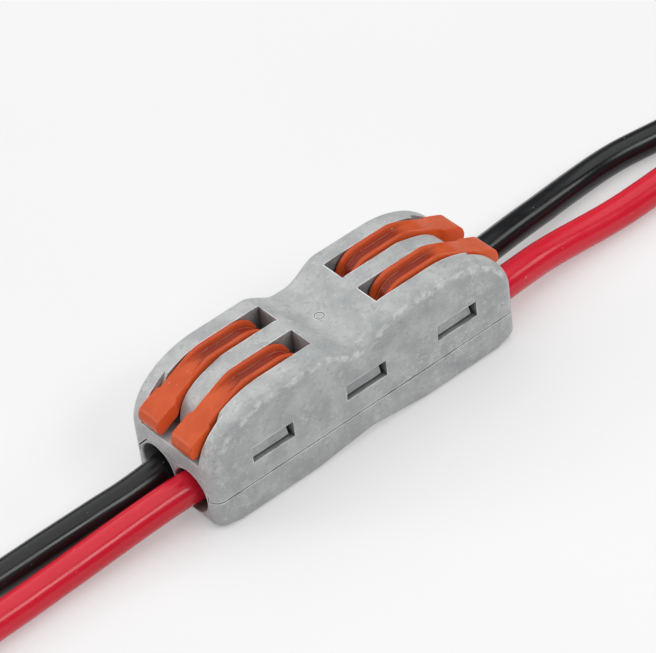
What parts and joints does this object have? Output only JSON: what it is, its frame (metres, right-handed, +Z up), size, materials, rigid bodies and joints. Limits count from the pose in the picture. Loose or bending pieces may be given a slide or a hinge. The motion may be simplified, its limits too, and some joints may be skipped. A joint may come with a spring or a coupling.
{
  "type": "lever wire connector",
  "caption": "Inline splice connector: grey housing, orange levers that open cage clamps at both ends of each pole, black and red wires clamped in.",
  "frame": {"origin": "centre of the bottom face of the connector, on the surface it lies on", "axes": "+X along the wires towards end b, +Y across the poles towards pole 1 (black), +Z up through the levers"},
  "size_m": [0.172, 0.015, 0.0134],
  "materials": {
    "grey_nylon": "moulded grey nylon, fine speckle, scuffed edges",
    "orange_nylon": "satin orange nylon",
    "tinned_copper": "tin-plated copper strip",
    "spring_steel": "rolled stainless spring strip",
    "bare_copper": "bright stranded copper",
    "black_pvc": "black PVC insulation, soft gloss",
    "red_pvc": "red PVC insulation, soft gloss"
  },
  "bodies": {
    "root": {"housing": "grey_nylon", "base_cover": "grey_nylon", "busbar_1": "tinned_copper", "busbar_2": "tinned_copper", "spring_seat_a1": "spring_steel", "wire_a1": "black_pvc", "conductor_a1": "bare_copper", "wire_end_a1": "bare_copper", "spring_seat_b1": "spring_steel", "wire_b1": "black_pvc", "conductor_b1": "bare_copper", "wire_end_b1": "bare_copper", "spring_seat_a2": "spring_steel", "wire_a2": "red_pvc", "conductor_a2": "bare_copper", "wire_end_a2": "bare_copper", "spring_seat_b2": "spring_steel", "wire_b2": "red_pvc", "conductor_b2": "bare_copper", "wire_end_b2": "bare_copper"},
    "lever_a1": {"lever_a1": "orange_nylon"},
    "clamp_a1": {"clamp_arm_a1": "spring_steel"},
    "lever_b1": {"lever_b1": "orange_nylon"},
    "clamp_b1": {"clamp_arm_b1": "spring_steel"},
    "lever_a2": {"lever_a2": "orange_nylon"},
    "clamp_a2": {"clamp_arm_a2": "spring_steel"},
    "lever_b2": {"lever_b2": "orange_nylon"},
    "clamp_b2": {"clamp_arm_b2": "spring_steel"}
  },
  "joints": [
    {"name": "lever_a1_lift", "type": "hinge", "parent": "root", "child": "lever_a1", "pos_m": [-0.0082, 0.00251, 0.0098], "axis": [0, 1, 0], "range_deg": [0, 85]},
    {"name": "clamp_a1_flex", "type": "hinge", "parent": "root", "child": "clamp_a1", "pos_m": [-0.0024, 0.00251, 0.0062], "axis": [0, -1, 0], "range_deg": [0, 6.5]},
    {"name": "lever_b1_lift", "type": "hinge", "parent": "root", "child": "lever_b1", "pos_m": [0.0082, 0.00251, 0.0098], "axis": [0, -1, 0], "range_deg": [0, 85]},
    {"name": "clamp_b1_flex", "type": "hinge", "parent": "root", "child": "clamp_b1", "pos_m": [0.0024, 0.00251, 0.0062], "axis": [0, 1, 0], "range_deg": [0, 6.5]},
    {"name": "lever_a2_lift", "type": "hinge", "parent": "root", "child": "lever_a2", "pos_m": [-0.0082, -0.00251, 0.0098], "axis": [0, 1, 0], "range_deg": [0, 85]},
    {"name": "clamp_a2_flex", "type": "hinge", "parent": "root", "child": "clamp_a2", "pos_m": [-0.0024, -0.00251, 0.0062], "axis": [0, -1, 0], "range_deg": [0, 6.5]},
    {"name": "lever_b2_lift", "type": "hinge", "parent": "root", "child": "lever_b2", "pos_m": [0.0082, -0.00251, 0.0098], "axis": [0, -1, 0], "range_deg": [0, 85]},
    {"name": "clamp_b2_flex", "type": "hinge", "parent": "root", "child": "clamp_b2", "pos_m": [0.0024, -0.00251, 0.0062], "axis": [0, 1, 0], "range_deg": [0, 6.5]}
  ],
  "couplings": [
    {"joint": "clamp_a1_flex", "follows": "lever_a1_lift", "ratio": 0.0753},
    {"joint": "clamp_b1_flex", "follows": "lever_b1_lift", "ratio": 0.0753},
    {"joint": "clamp_a2_flex", "follows": "lever_a2_lift", "ratio": 0.0753},
    {"joint": "clamp_b2_flex", "follows": "lever_b2_lift", "ratio": 0.0753}
  ]
}
